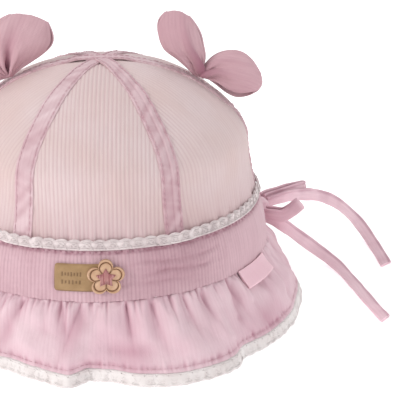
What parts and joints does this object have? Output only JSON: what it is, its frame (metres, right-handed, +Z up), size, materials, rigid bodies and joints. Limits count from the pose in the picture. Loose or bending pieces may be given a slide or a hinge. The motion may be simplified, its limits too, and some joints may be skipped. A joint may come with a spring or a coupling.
{
  "type": "baby sun hat",
  "caption": "Cotton baby sun hat with a panelled crown, looped cloth bows, a lace-trimmed band, a gathered brim edged with lace, a leather flower patch and a side tie.",
  "frame": {"origin": "centre of the bottom of the hat's bounding box, on the surface the lace edge rests on", "axes": "+Z up; -Y towards the front, where the flower and patch are; +X towards the side with the tie"},
  "size_m": [0.2408, 0.1938, 0.1394],
  "materials": {
    "crown_cotton": "matt finely ribbed cotton, pale pink",
    "strip_cotton": "matt woven cotton strip, pink",
    "band_cotton": "matt crinkled cotton, deeper pink",
    "brim_cotton": "matt crinkled cotton, pink",
    "bow_cotton": "matt crinkled cotton, dusky pink",
    "tie_cotton": "matt cotton tape, dusky pink",
    "label_cotton": "smooth woven cotton, pink",
    "cotton_lace": "matt cotton lace, off-white",
    "tanned_leather": "soft tan leather, slightly glossy",
    "flower_leather": "pale tan leather with a darker pressed line",
    "star_cotton": "stitched cotton, dusky pink"
  },
  "bodies": {
    "root": {"band": "band_cotton", "bow_left": "bow_cotton", "bow_right": "bow_cotton", "brim": "brim_cotton", "crown_panel_1": "crown_cotton", "crown_panel_2": "crown_cotton", "crown_panel_3": "crown_cotton", "crown_panel_4": "crown_cotton", "crown_panel_5": "crown_cotton", "crown_panel_6": "crown_cotton", "flower": "flower_leather", "flower_centre": "star_cotton", "lace_edge": "cotton_lace", "lace_trim": "cotton_lace", "patch": "tanned_leather", "seam_strips": "strip_cotton", "side_label": "label_cotton", "tie_knot": "tie_cotton", "tie_loop_lower": "tie_cotton", "tie_loop_upper": "tie_cotton", "tie_tail_lower": "tie_cotton", "tie_tail_upper": "tie_cotton"}
  },
  "joints": []
}
